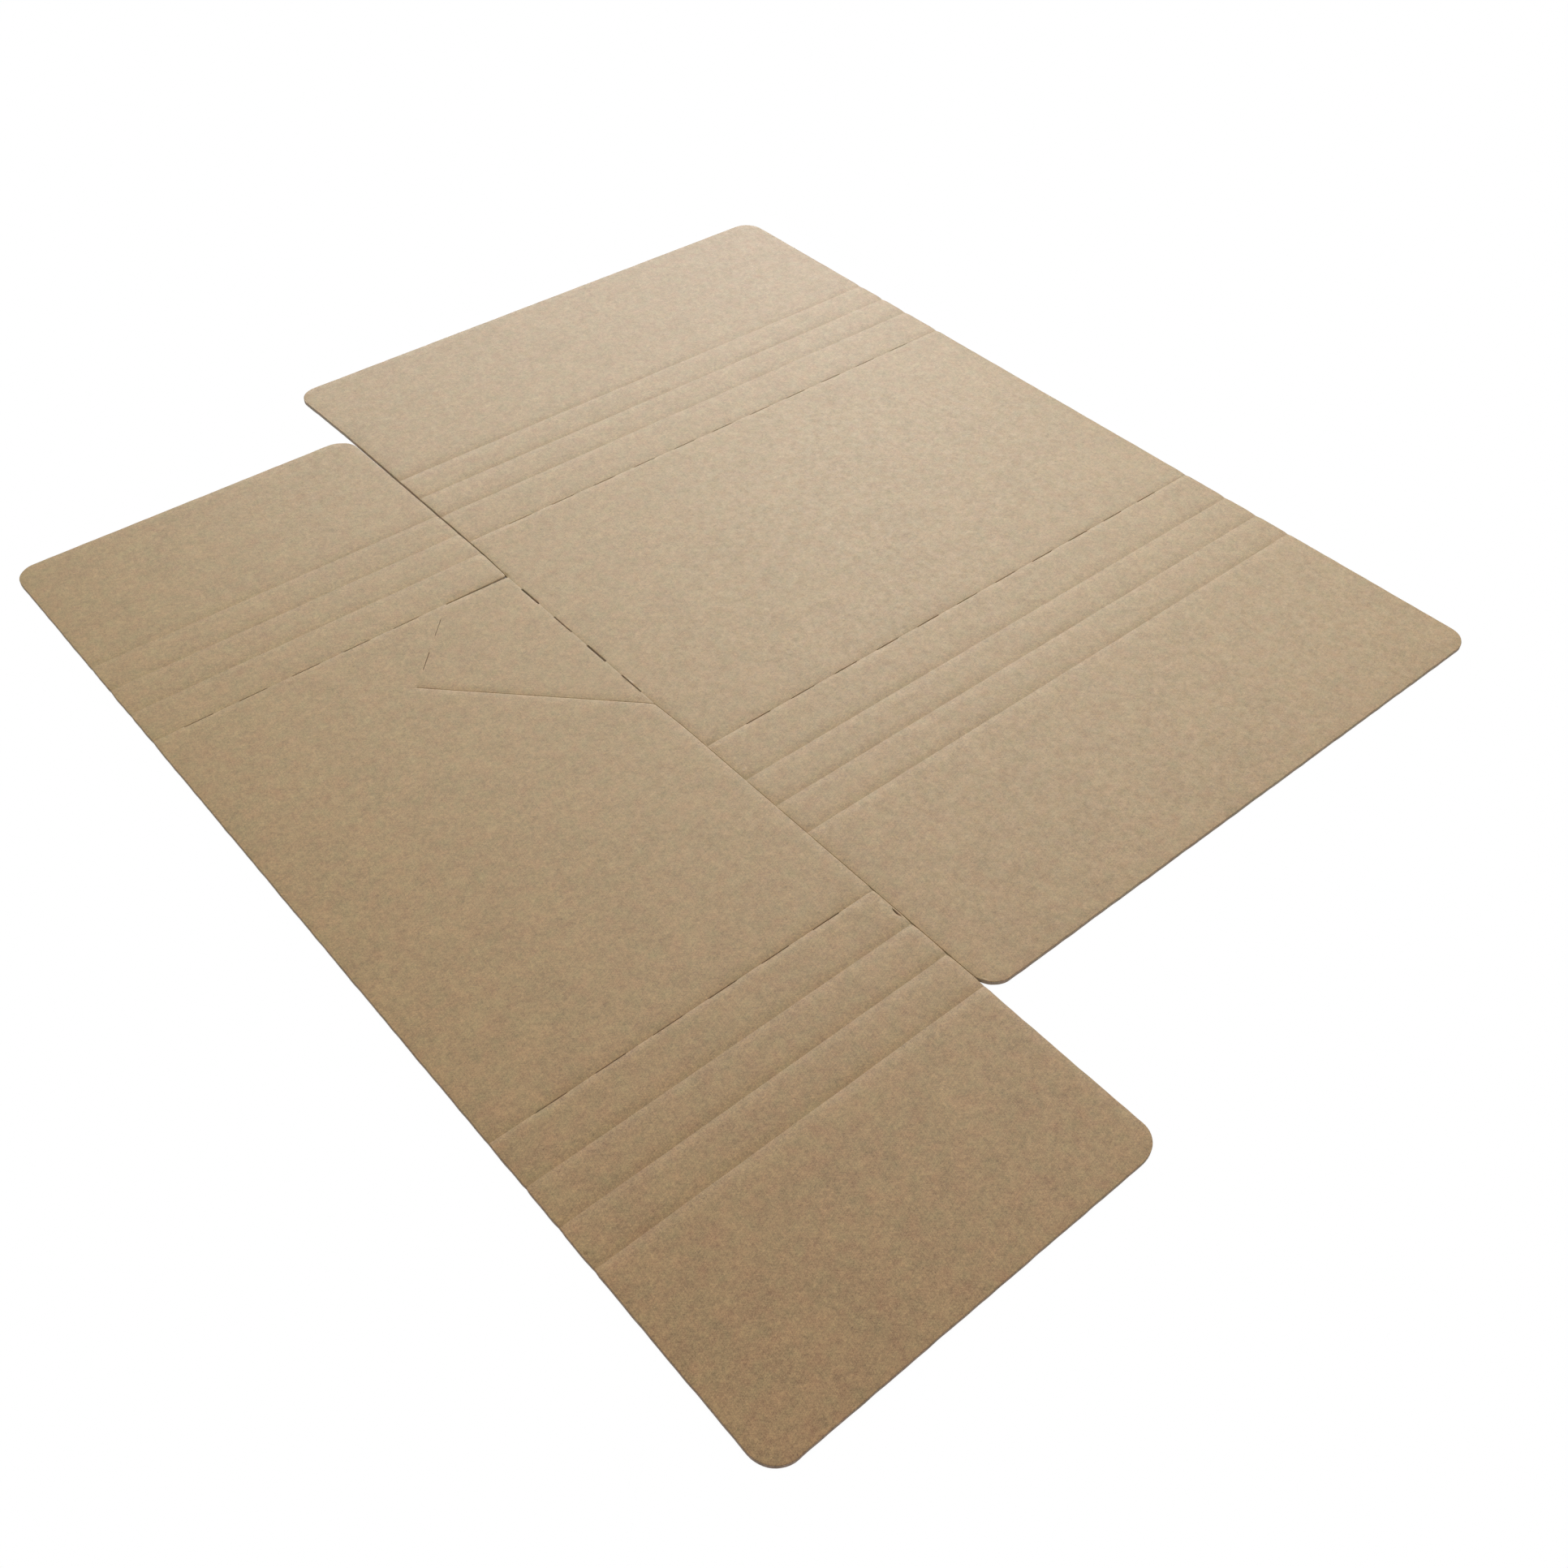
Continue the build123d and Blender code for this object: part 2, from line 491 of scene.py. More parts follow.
@dataclass(frozen=True)
class CutRow:
    """A row of through cuts along a fold: where it starts, how it runs, and its pattern."""

    start: tuple[float, float]
    direction: float
    length: float
    cut_width: float
    land: float
    cut: float
    pitch: float
    end_land: float

    @property
    def count(self) -> int:
        """Number of cuts, as many as leave the least land at the far end."""
        return math.floor((self.length - self.land - self.end_land - self.cut) / self.pitch) + 1


def rounded_loop(corners: list[tuple[float, float, float]], turn_step: float = 7.5) -> Points:
    """Draws a closed outline from its corners.

    Args:
        corners: x, y and radius of each corner, in order; radius 0 keeps a corner sharp.
        turn_step: degrees between the points of a rounded corner.
    Returns:
        An array of x, y rows, without the first point repeated.
    """
    points: list[Vector] = []
    count = len(corners)
    for number, (x, y, radius) in enumerate(corners):
        corner = Vector((x, y))
        if not radius:
            points.append(corner)
            continue
        before = (Vector(corners[number - 1][:2]) - corner).normalized()
        after = (Vector(corners[(number + 1) % count][:2]) - corner).normalized()
        half = before.angle(after) / 2
        centre = corner + (before + after).normalized() * (radius / math.sin(half))
        spoke = corner + before * (radius / math.tan(half)) - centre
        turn = math.pi - 2 * half
        sense = 1 if before.x * after.y - before.y * after.x < 0 else -1
        steps = max(2, math.ceil(math.degrees(turn) / turn_step))
        for step in range(steps + 1):
            points.append(centre + Matrix.Rotation(sense * turn * step / steps, 2) @ spoke)
    return np.array([tuple(p) for p in points])


def refined_loop(loop: Points, step: float) -> Points:
    """Adds points to a closed loop.

    Args:
        loop: x, y rows, without the first point repeated.
        step: no side becomes longer than this.
    Returns:
        The loop in short sides.
    """
    sides = []
    for start, end in zip(loop, np.roll(loop, -1, axis=0)):
        pieces = max(1, math.ceil(float(np.hypot(*(end - start))) / step))
        sides.append(start + (end - start) * (np.arange(pieces) / pieces)[:, None])
    return np.concatenate(sides)


def offset_loop(loop: Points, distance: float | np.ndarray, least_mitre: float = 0.5) -> Points:
    """Moves a closed loop to its left, with mitred corners.

    Args:
        loop: x, y rows, without the first point repeated.
        distance: how far, or how far for each point.
        least_mitre: limits how far a sharp corner runs out.
    Returns:
        The moved loop.
    """
    ahead = np.roll(loop, -1, axis=0) - loop
    ahead /= np.hypot(ahead[:, 0], ahead[:, 1])[:, None]
    normals = np.stack((-ahead[:, 1], ahead[:, 0]), 1)
    mitre = normals + np.roll(normals, 1, axis=0)
    mitre /= np.maximum((mitre * normals).sum(1), least_mitre)[:, None]
    return loop + mitre * np.reshape(distance, (-1, 1))


def gap(points: Points, start: tuple[float, float], end: tuple[float, float]) -> np.ndarray:
    """Measures how far points lie from a straight line.

    Args:
        points: x, y rows.
        start: one end of the line.
        end: its other end.
    Returns:
        The distances, one for each point.
    """
    foot = np.array(start)
    along = np.array(end) - foot
    share = np.clip(((points - foot) @ along) / (along @ along), 0, 1)
    away = points - foot - share[:, None] * along
    return np.hypot(away[:, 0], away[:, 1])


def inside_loop(points: Points, loop: Points) -> np.ndarray:
    """Says which points lie inside a closed loop, by counting crossings.

    Args:
        points: x, y rows.
        loop: the loop's x, y rows.
    Returns:
        True for each point inside.
    """
    inside = np.zeros(len(points), bool)
    for (x0, y0), (x1, y1) in zip(loop, np.roll(loop, -1, axis=0)):
        if y0 == y1:
            continue
        spans = (points[:, 1] >= min(y0, y1)) & (points[:, 1] < max(y0, y1))
        crossing = x0 + (points[:, 1] - y0) * (x1 - x0) / (y1 - y0)
        inside ^= spans & (points[:, 0] < crossing)
    return inside


def side_pairs(rows: list[tuple[Points, bool]]) -> list[list[tuple[int, int]]]:
    """Numbers the points of several rows through, and pairs each row's neighbours.

    Args:
        rows: arrays of x, y rows, and whether each is closed.
    Returns:
        For each row, the pairs of point numbers of its sides.
    """
    pairs = []
    count = 0
    for row, closed in rows:
        numbers = list(range(count, count + len(row)))
        sides = list(zip(numbers, numbers[1:]))
        if closed:
            sides.append((numbers[-1], numbers[0]))
        pairs.append(sides)
        count += len(row)
    return pairs


@dataclass(frozen=True)
class DieDrawing:
    """The die's drawing: outline, rows of cuts and pressed lines of the blank."""

    # outline, folds and creases
    corner_radius: float = 8.5
    wide_width: float = 245.0
    wide_main: float = 142.5
    wide_first_step: float = 20.0
    wide_end_flap: float = 80.0
    narrow_width: float = 137.5
    narrow_main: float = 197.5
    narrow_first_step: float = 17.0
    narrow_end_flap: float = 67.5
    fold_offset: float = 25.5
    crease_step: float = 15.0
    creases_per_flap: int = 3
    # pressed lines: depths of their rules, reaches and drops of their shoulders
    crease_depth: float = 0.008
    back_fold_depth: float = 0.015
    front_fold_depth: float = 0.03
    shoulder_reach: float = 4.5
    fold_front_reach: float = 2.6
    front_shift: float = 0.5
    hinge_depth: float = 0.03
    tab_fold_depth: float = 0.02
    narrow_back_shoulder: float = 0.19
    narrow_front_shoulder: float = 0.3
    wide_back_shoulder: float = 0.3
    wide_front_shoulder: float = 0.28
    hinge_shoulder: float = 0.075
    tab_fold_shoulder: float = 0.018
    fold_shoulder_share: float = 0.85
    # knife cuts between the strips and round the tab
    kerf: float = 0.02
    cut_drift: float = 0.6
    drift_ramp: float = 15.0
    drift_band: float = 1.0
    upper_cut_opening: float = 0.9
    lower_cut_opening: float = 0.12
    tab_slit: float = 25.5
    tab_slit_width: float = 0.25
    tab_slit_opening: float = 1.05
    tab_fold: float = 45.0
    tab_angle: float = 45.0
    tab_corner_radius: float = 1.0
    tab_root_radius: float = 2.0
    # rows of through cuts, and the board left before and after them
    back_cut_width: float = 0.22
    front_cut_width: float = 0.28
    hinge_cut_width: float = 0.6
    tab_fold_cut_width: float = 0.17
    fold_cut: float = 10.3
    fold_cut_pitch: float = 19.8
    wide_upper_land: float = 18.3
    wide_lower_land: float = 17.5
    narrow_upper_land: float = 11.0
    narrow_lower_land: float = 14.8
    hinge_cut: float = 10.8
    hinge_cut_pitch: float = 20.2
    hinge_land: float = 10.2
    tab_fold_cut: float = 8.9
    tab_fold_cut_pitch: float = 17.8
    tab_fold_land: float = 9.2
    least_end_land: float = 6.0
    # torn nick beside the lower cut
    nick_below_fold: float = 10.6
    nick_length: float = 4.3
    nick_inset: float = 0.6
    nick_bow: float = 0.6
    nick_gap: float = 0.65

    @property
    def crease_span(self) -> float:
        """Distance from a flap's first crease to its last."""
        return self.crease_step * (self.creases_per_flap - 1)

    @property
    def narrow(self) -> Strip:
        """The narrow strip, left of the common line."""
        return Strip(-self.narrow_width, -self.kerf, 0.0, -self.narrow_main,
                     self.narrow_first_step, self.crease_span, self.narrow_end_flap)

    @property
    def wide(self) -> Strip:
        """The wide strip, right of the common line."""
        upper_fold = self.fold_offset
        return Strip(0.0, self.wide_width, upper_fold, upper_fold - self.wide_main,
                     self.wide_first_step, self.crease_span, self.wide_end_flap)

    @property
    def tab_point(self) -> tuple[float, float]:
        """The tab's free corner, where its slanted fold meets its inner slit."""
        angle = math.radians(self.tab_angle)
        return (-self.tab_slit - self.tab_fold * math.cos(angle), -self.tab_fold * math.sin(angle))

    @property
    def tab_root(self) -> float:
        """Height where the tab's inner slit meets the common line."""
        return self.tab_point[1] + self.tab_point[0] / math.tan(math.radians(self.tab_angle))

    @property
    def box_middle(self) -> tuple[float, float]:
        """Middle of the box around the blank, which is the frame's origin."""
        top = max(self.wide.top, self.narrow.top)
        bottom = min(self.wide.bottom, self.narrow.bottom)
        return ((self.wide_width - self.narrow_width) / 2, (top + bottom) / 2)

    def outline(self) -> Points:
        """Draws the outline, with the slits and the cut between the strips.

        Returns:
            An array of x, y rows, anticlockwise.
        """
        narrow, wide = self.narrow, self.wide
        radius = self.corner_radius
        slant = math.radians(self.tab_angle)
        tab_x, tab_y = self.tab_point
        return rounded_loop([
            (0, -self.tab_slit_opening, 0),
            (-self.tab_slit, -self.tab_slit_width, 0),
            (-self.tab_slit, 0, 0),
            (-self.kerf, 0, self.tab_corner_radius),
            (-self.kerf, narrow.top, radius),
            (narrow.left, narrow.top, radius),
            (narrow.left, narrow.bottom, radius),
            (-self.lower_cut_opening, narrow.bottom, radius),
            (-self.kerf, self.tab_root + self.kerf / math.tan(slant), self.tab_root_radius),
            (tab_x, tab_y, 0),
            (tab_x + self.kerf * math.cos(slant), tab_y + self.kerf * math.sin(slant), 0),
            (0, self.tab_root + self.kerf / math.sin(slant), 0),
            (wide.left, wide.bottom, radius),
            (wide.right, wide.bottom, radius),
            (wide.right, wide.top, radius),
            (wide.left, wide.top, radius),
        ])

    def drifted(self, loop: Points) -> Points:
        """Lets the cut between the strips wander to the right, and open upwards past the tab's slit.

        Args:
            loop: the outline in short sides.
        Returns:
            The outline with the sides of the cut moved.
        """
        x, y = loop.T
        past_hinge = np.clip(np.maximum(y, self.tab_root - y) / self.drift_ramp, 0, 1)
        beyond = np.clip((self.wide.top - y) / (self.wide.top - self.narrow.top), 0, 1)
        opened = np.sqrt(np.clip(y / self.narrow.top, 0, 1)) * self.upper_cut_opening / 2
        shift = self.cut_drift * past_hinge + np.where(x < -self.kerf / 2, -opened, opened)
        away = (self.corner_radius - np.abs(x)) / (self.corner_radius - self.drift_band)
        beside = np.clip(away, 0, 1)
        return loop + np.stack((shift * beyond * beside, np.zeros(len(loop))), 1)

    def cut_rows(self) -> list[CutRow]:
        """Lists the rows of through cuts.

        Returns:
            One row for each fold line.
        """
        narrow, wide = self.narrow, self.wide
        fold = (self.fold_cut, self.fold_cut_pitch, self.least_end_land)
        return [
            CutRow((narrow.left, narrow.upper_fold), 0.0, self.narrow_width - self.tab_slit,
                   self.back_cut_width, self.narrow_upper_land, *fold),
            CutRow((narrow.left, narrow.lower_fold + self.front_shift), 0.0, self.narrow_width,
                   self.front_cut_width, self.narrow_lower_land, *fold),
            CutRow((wide.left, wide.upper_fold), 0.0, self.wide_width,
                   self.back_cut_width, self.wide_upper_land, *fold),
            CutRow((wide.left, wide.lower_fold + self.front_shift), 0.0, self.wide_width,
                   self.front_cut_width, self.wide_lower_land, *fold),
            CutRow((0.0, 0.0), -90.0, -self.tab_root, self.hinge_cut_width, self.hinge_land,
                   self.hinge_cut, self.hinge_cut_pitch, self.least_end_land),
            CutRow((-self.tab_slit, 0.0), 180.0 + self.tab_angle, self.tab_fold,
                   self.tab_fold_cut_width, self.tab_fold_land, self.tab_fold_cut,
                   self.tab_fold_cut_pitch, self.least_end_land),
        ]

    def nick(self, steps: int = 8) -> Points:
        """Draws the torn nick, a crescent between two bowed lines.

        Args:
            steps: number of sides of each bowed line.
        Returns:
            An array of x, y rows, clockwise.
        """
        middle = self.narrow.lower_fold - self.nick_below_fold
        side = self.cut_drift - self.kerf - self.nick_inset
        share = np.linspace(-1, 1, steps + 1)
        bow = 1 - share**2
        y = middle + share * self.nick_length / 2
        outer = np.stack((side - self.nick_bow * bow, y), 1)
        inner = np.stack((side - (self.nick_bow - self.nick_gap) * bow, y), 1)
        return np.concatenate((outer, inner[-2:0:-1]))

    def pressed_lines(self) -> list[PressedLine]:
        """Lists every fold, crease and tab line.

        Returns:
            The lines, each strip's from its front to its back.
        """
        lines = []
        for strip, right, back, front, group in (
            (self.narrow, self.cut_drift, self.narrow_back_shoulder, self.narrow_front_shoulder,
             LineGroup.NARROW),
            (self.wide, self.wide_width, self.wide_back_shoulder, self.wide_front_shoulder,
             LineGroup.WIDE),
        ):
            front_fold = strip.lower_fold + self.front_shift
            near = self.fold_front_reach
            heights = [
                (strip.upper_fold, back * self.fold_shoulder_share, self.back_fold_depth, near),
                (front_fold, front * self.fold_shoulder_share, self.front_fold_depth, near),
            ]
            far = self.shoulder_reach
            for number in range(self.creases_per_flap):
                reach = strip.first_step + number * self.crease_step
                heights.append((strip.upper_fold + reach, back, self.crease_depth, far))
                heights.append((front_fold - reach, front, self.crease_depth, far))
            for height, shoulder, depth, reach in sorted(heights):
                start, end = (strip.left, height), (right, height)
                lines.append(PressedLine(start, end, shoulder, depth, group, reach))
        for start, end, shoulder, depth in (
            ((0.0, 0.0), (0.0, self.tab_root), self.hinge_shoulder, self.hinge_depth),
            ((-self.tab_slit, 0.0), self.tab_point, self.tab_fold_shoulder, self.tab_fold_depth),
        ):
            lines.append(PressedLine(start, end, shoulder, depth, LineGroup.TAB, self.shoulder_reach))
        return lines

    def knife_lines(self) -> list[tuple[tuple[float, float], tuple[float, float], bool]]:
        """Lists the cuts between the strips and round the tab.

        Returns:
            Each cut's two ends, and whether the board on its left is a raised lip.
        """
        root = (0.0, self.tab_root)
        return [
            ((0.0, self.wide.bottom), root, True),
            (root, self.tab_point, True),
            ((-self.tab_slit, 0.0), (0.0, 0.0), False),
            ((0.0, 0.0), (0.0, self.narrow.top), False),
        ]


@dataclass
class CutPattern:
    """The rows of through cuts, laid along their folds by a Geometry Nodes tree."""

    drawing: DieDrawing = field(default_factory=DieDrawing)
    width_spread: float = 0.25

    def tree(self, finish: bpy.types.Material) -> ShapeTree:
        """Builds the tree that repeats one cut along a line.

        Args:
            finish: the material that the tree sets.
        Returns:
            The tree.
        """
        shape = ShapeTree("cut_row")
        pad = shape.pad
        land, cut = shape.number("Land"), shape.number("Cut")
        width, pitch = shape.number("Cut width"), shape.number("Pitch")
        first = pad.add("ShaderNodeCombineXYZ", X=pad.math("MULTIPLY_ADD", cut, 0.5, land))
        step = pad.add("ShaderNodeCombineXYZ", X=pitch)
        row = pad.add("GeometryNodeMeshLine", Count=shape.count("Count"), Start_Location=first.outputs[0],
                      Offset=step.outputs[0])
        blade = pad.add("GeometryNodeMeshGrid", Size_X=cut, Size_Y=width, Vertices_X=2, Vertices_Y=2)
        spread = shape.number("Width spread")
        opened = pad.add("FunctionNodeRandomValue", {"data_type": "FLOAT"}, Seed=shape.count("Seed"))
        pad.feed(opened.inputs[2], pad.math("SUBTRACT", 1.0, spread))
        pad.feed(opened.inputs[3], pad.math("ADD", 1.0, spread))
        widened = pad.add("ShaderNodeCombineXYZ", X=1.0, Y=opened.outputs[1], Z=1.0)
        laid = pad.add("GeometryNodeInstanceOnPoints", Points=row.outputs[0],
                       Instance=blade.outputs[0], Scale=widened.outputs[0])
        pad.feed(shape.result.inputs[0], shape.finish(laid.outputs[0], finish))
        return shape

    def loops(self, finish: bpy.types.Material) -> list[Points]:
        """Draws every through cut, and the torn nick with them.

        Args:
            finish: the material that the tree sets.
        Returns:
            One array of x, y rows for each cut, clockwise.
        """
        drawing = self.drawing
        shape = self.tree(finish)
        loops = []
        for number, row in enumerate(drawing.cut_rows()):
            mesh = shape.plain_mesh(bpy.data.meshes.new("row"), {
                "Land": row.land, "Cut": row.cut, "Cut width": row.cut_width, "Pitch": row.pitch,
                "Count": row.count, "Width spread": self.width_spread, "Seed": number,
            })
            turn = Matrix.Rotation(math.radians(row.direction), 2)
            for blade in mesh.polygons:
                corners = [turn @ mesh.vertices[corner].co.to_2d() for corner in blade.vertices]
                loops.append(np.array([tuple(c) for c in reversed(corners)]) + np.array(row.start))
            bpy.data.meshes.remove(mesh)
        loops.append(drawing.nick())
        return loops


@dataclass
class BoardSheet:
    """The blank's sheet: one closed mesh with rolled edges, pressed by a Geometry Nodes tree."""

    drawing: DieDrawing = field(default_factory=DieDrawing)
    pattern: CutPattern = field(default_factory=CutPattern)
    liner: KraftFinish = field(default_factory=KraftFinish)
    cut_edge: CutEdgeFinish = field(default_factory=CutEdgeFinish)
    board_thickness: float = 1.5
    # edges: rolled over by the knife, sunk a little, and worn
    edge_roll: float = 0.12
    edge_roll_depth: float = 0.1
    lip_roll: float = 0.4
    lip_roll_depth: float = 0.07
    side_roll: float = 0.12
    side_roll_depth: float = 0.11
    cut_roll: float = 0.1
    cut_roll_depth: float = 0.06
    edge_sink: float = 0.16
    edge_sink_spread: float = 0.12
    edge_reach: float = 3.6
    edge_inset: float = 0.1
    edge_wobble: float = 0.1
    end_notch: float = 0.2
    wear_lengths: tuple[float, ...] = (7.0, 11.0, 19.0, 37.0)
    wear_seed: int = 5
    # pressed lines and waves of the upper face
    tab_shoulder_width: float = 3.0
    rule_width: float = 0.7
    line_unevenness: float = 0.35
    line_patch: float = 14.0
    waviness: float = 0.03
    wave_length: float = 45.0
    relief_seed: float = 3.0
    top_share: float = 0.9
    # fineness and shading of the mesh
    edge_step: float = 1.6
    strand_step: float = 2.5
    overrun: float = 0.12
    infill_step: float = 3.4
    underside_step: float = 14.0
    rule_strands: tuple[float, ...] = (0.2, 0.6, 1.0)
    shoulder_strands: tuple[float, ...] = (0.3, 0.6, 1.0)
    roll_turns: tuple[float, ...] = (30.0, 60.0, 90.0)
    sink_rings: tuple[float, ...] = (0.28, 0.6, 1.0)
    ring_clearance: float = 0.95
    line_clearance: float = 0.4
    edge_clearance: float = 0.3
    sharp_angle: float = 40.0

    def strand_offsets(self, group: LineGroup) -> list[float]:
        """Lists the sideways places of the mesh's strands beside a pressed line.

        Args:
            group: the line's group, which says how far its shoulders reach.
        Returns:
            The places in millimetres, from one side over the line to the other.
        """
        half = self.rule_width / 2
        width = self.tab_shoulder_width if group is LineGroup.TAB else self.drawing.shoulder_reach
        one_side = [half * share for share in self.rule_strands]
        one_side += [half + (width - half) * share for share in self.shoulder_strands]
        return [-offset for offset in reversed(one_side)] + [0.0] + one_side

    def ring_offsets(self, roll: float) -> list[float]:
        """Distances from the knife cut of the mesh's rings across a rolled edge."""
        return [roll * (1 - math.cos(math.radians(turn))) for turn in self.roll_turns]

    def infill(self, step: float, lines: list[PressedLine], outline: Points) -> Points:
        """Lays a staggered grid of points over the sheet, clear of its lines and edges.

        Args:
            step: distance between the points.
            lines: the pressed lines to keep clear of.
            outline: the sheet's outline.
        Returns:
            An array of x, y rows.
        """
        low, high = outline.min(0), outline.max(0)
        x, y = np.meshgrid(
            np.arange(low[0] + step / 2, high[0], step),
            np.arange(low[1] + step / 2, high[1], step * math.sqrt(3) / 2),
        )
        x[1::2] += step / 2
        points = np.stack((x.ravel(), y.ravel()), 1)
        points = points[inside_loop(points, outline)]
        for line in lines:
            clear = self.strand_offsets(line.group)[-1] + step * self.line_clearance
            points = points[gap(points, line.start, line.end) > clear]
        clear = self.edge_reach + step * self.edge_clearance
        for start, end in zip(outline, np.roll(outline, -1, axis=0)):
            points = points[gap(points, start, end) > clear]
        return points

    def worn_edge(self, outline: Points) -> Points:
        """Makes the outer edge a little uneven, with a notch where a pressed line runs out.

        Args:
            outline: the die's outline.
        Returns:
            The outline in short sides, moved inwards where it is free.
        """
        edge = refined_loop(outline, self.edge_step)
        along = np.cumsum(np.hypot(*(np.roll(edge, -1, axis=0) - edge).T))
        count = len(self.wear_lengths)
        phases = np.random.default_rng(self.wear_seed).uniform(0, 2 * math.pi, count)
        waves = sum(
            np.sin(2 * math.pi * along / length + phase) / count
            for length, phase in zip(self.wear_lengths, phases)
        )
        inwards = self.edge_inset + self.edge_wobble * waves
        for line in self.drawing.pressed_lines():
            for end in (line.start, line.end):
                away = np.hypot(*(edge - np.array(end)).T)
                inwards = inwards + self.end_notch * np.clip(1 - away / self.edge_step, 0, 1)
        for start, end, _ in self.drawing.knife_lines():
            inwards = np.where(gap(edge, start, end) < 2 * self.edge_step, 0.0, inwards)
        return self.drawing.drifted(offset_loop(edge, inwards))

    def edge_form(self, edge: Points) -> dict[str, np.ndarray]:
        """Says how the top rolls over and sinks beside each side of the outline.

        Args:
            edge: the outline in short sides, anticlockwise.
        Returns:
            For each side, how wide and how deep its roll is, and how far the sheet sinks towards
            it: most towards the back and right edges, and rolled widest on the raised lip.
        """
        ahead = np.roll(edge, -1, axis=0) - edge
        middles = edge + ahead / 2
        outwards = (ahead[:, 1] - ahead[:, 0]) / np.hypot(ahead[:, 0], ahead[:, 1]) / math.sqrt(2)
        roll = np.full(len(edge), self.edge_roll)
        depth = np.full(len(edge), self.edge_roll_depth)
        sink = self.edge_sink + self.edge_sink_spread * outwards
        for start, end, raised in self.drawing.knife_lines():
            near = gap(middles, start, end) < self.edge_step
            roll[near], depth[near], sink[near] = self.side_roll, self.side_roll_depth, self.edge_sink
            lip = near & (ahead @ (np.array(end) - np.array(start)) > 0) & raised
            roll[lip], depth[lip] = self.lip_roll, self.lip_roll_depth
        return {"roll": roll, "depth": depth, "sink": sink}

    def edge_rings(self, edge: Points) -> Points:
        """Lays points beside the outline, where the sheet sinks towards its edges.

        Args:
            edge: the outline in short sides, anticlockwise.
        Returns:
            An array of x, y rows.
        """
        rings = []
        for share in self.sink_rings:
            ring = offset_loop(edge, self.edge_reach * share)
            clear = inside_loop(ring, edge)
            for start, end in zip(edge, np.roll(edge, -1, axis=0)):
                clear &= gap(ring, start, end) > self.edge_reach * share * self.ring_clearance
            rings.append(ring[clear])
        return np.concatenate(rings)

    def triangulate(self, points: list[Points], edges: list[tuple[int, int]], outline: Points,
                    holes: list[Points]) -> tuple[Points, np.ndarray, dict[int, int]]:
        """Fills the outline with triangles that keep to the given edges.

        Args:
            points: arrays of x, y rows, numbered through.
            edges: pairs of point numbers that triangles may not cross.
            outline: the sheet's outline.
            holes: the through cuts, which stay open.
        Returns:
            The points, the triangles as rows of three point numbers facing up, and for each point
            given its number in the result.
        """
        flat = [Vector(p) for p in np.concatenate(points)]
        verts, _, faces, origins, *_ = delaunay_2d_cdt(flat, edges, [], 0, SAME_POINT)
        verts = np.array([tuple(v) for v in verts])
        faces = np.array(faces)
        middles = verts[faces].mean(1)
        keep = inside_loop(middles, outline)
        for hole in holes:
            near = np.abs(middles - hole.mean(0)).max(1) < np.ptp(hole, axis=0).max()
            keep[near] &= ~inside_loop(middles[near], hole)
        used, faces = np.unique(faces[keep], return_inverse=True)
        faces = faces.reshape(-1, 3)
        order = {number: place for place, number in enumerate(used.tolist())}
        numbers = {
            given: order[number]
            for number, group in enumerate(origins) if number in order
            for given in group
        }
        verts = verts[used]
        a, b, c = (verts[faces[:, corner]] for corner in range(3))
        ab, ac = b - a, c - a
        flipped = ab[:, 0] * ac[:, 1] - ab[:, 1] * ac[:, 0] < 0
        faces[flipped] = faces[flipped][:, ::-1]
        return verts, faces, numbers

    def mesh_rows(self, outline: Points, holes: list[Points]) -> list[tuple[Points, bool]]:
        """Lays the rows of points whose sides the upper face's triangles keep to.

        Args:
            outline: the sheet's outline, anticlockwise.
            holes: the through cuts, clockwise.
        Returns:
            Arrays of x, y rows, and whether each is closed.
        """
        rows = [(outline, True)]
        for roll in (self.edge_roll, self.side_roll, self.lip_roll):
            rows += [(offset_loop(outline, offset), True) for offset in self.ring_offsets(roll)]
        for hole in holes:
            side = refined_loop(hole, self.strand_step)
            rows.append((side, True))
            rows += [(offset_loop(side, offset), True) for offset in self.ring_offsets(self.cut_roll)]
        for line in self.drawing.pressed_lines():
            for offset in self.strand_offsets(line.group):
                rows.append((line.strand(offset, self.strand_step, self.overrun), False))
        return rows

    def flat_sheet(self, outline: Points, holes: list[Points]) -> bpy.types.Mesh:
        """Builds the flat sheet: triangulated faces above and below, and walls at every cut.

        Args:
            outline: the sheet's outline, anticlockwise.
            holes: the through cuts, clockwise.
        Returns:
            A closed mesh in metres, in the row frame, with knife_cut marked on its walls.
        """
        rows = self.mesh_rows(outline, holes)
        edges = [pair for sides in side_pairs(rows) for pair in sides]
        points = [row for row, _ in rows]
        lines = self.drawing.pressed_lines()
        points += [self.edge_rings(outline), self.infill(self.infill_step, lines, outline)]
        top, top_faces, _ = self.triangulate(points, edges, outline, holes)

        rim = self.rim_edges(top_faces)
        rim_points = np.unique(rim)
        place = {number: order for order, number in enumerate(rim_points.tolist())}
        rim_pairs = [(place[a], place[b]) for a, b in rim.tolist()]
        spread = [top[rim_points], self.infill(self.underside_step, [], outline)]
        base, base_faces, numbers = self.triangulate(spread, rim_pairs, outline, holes)

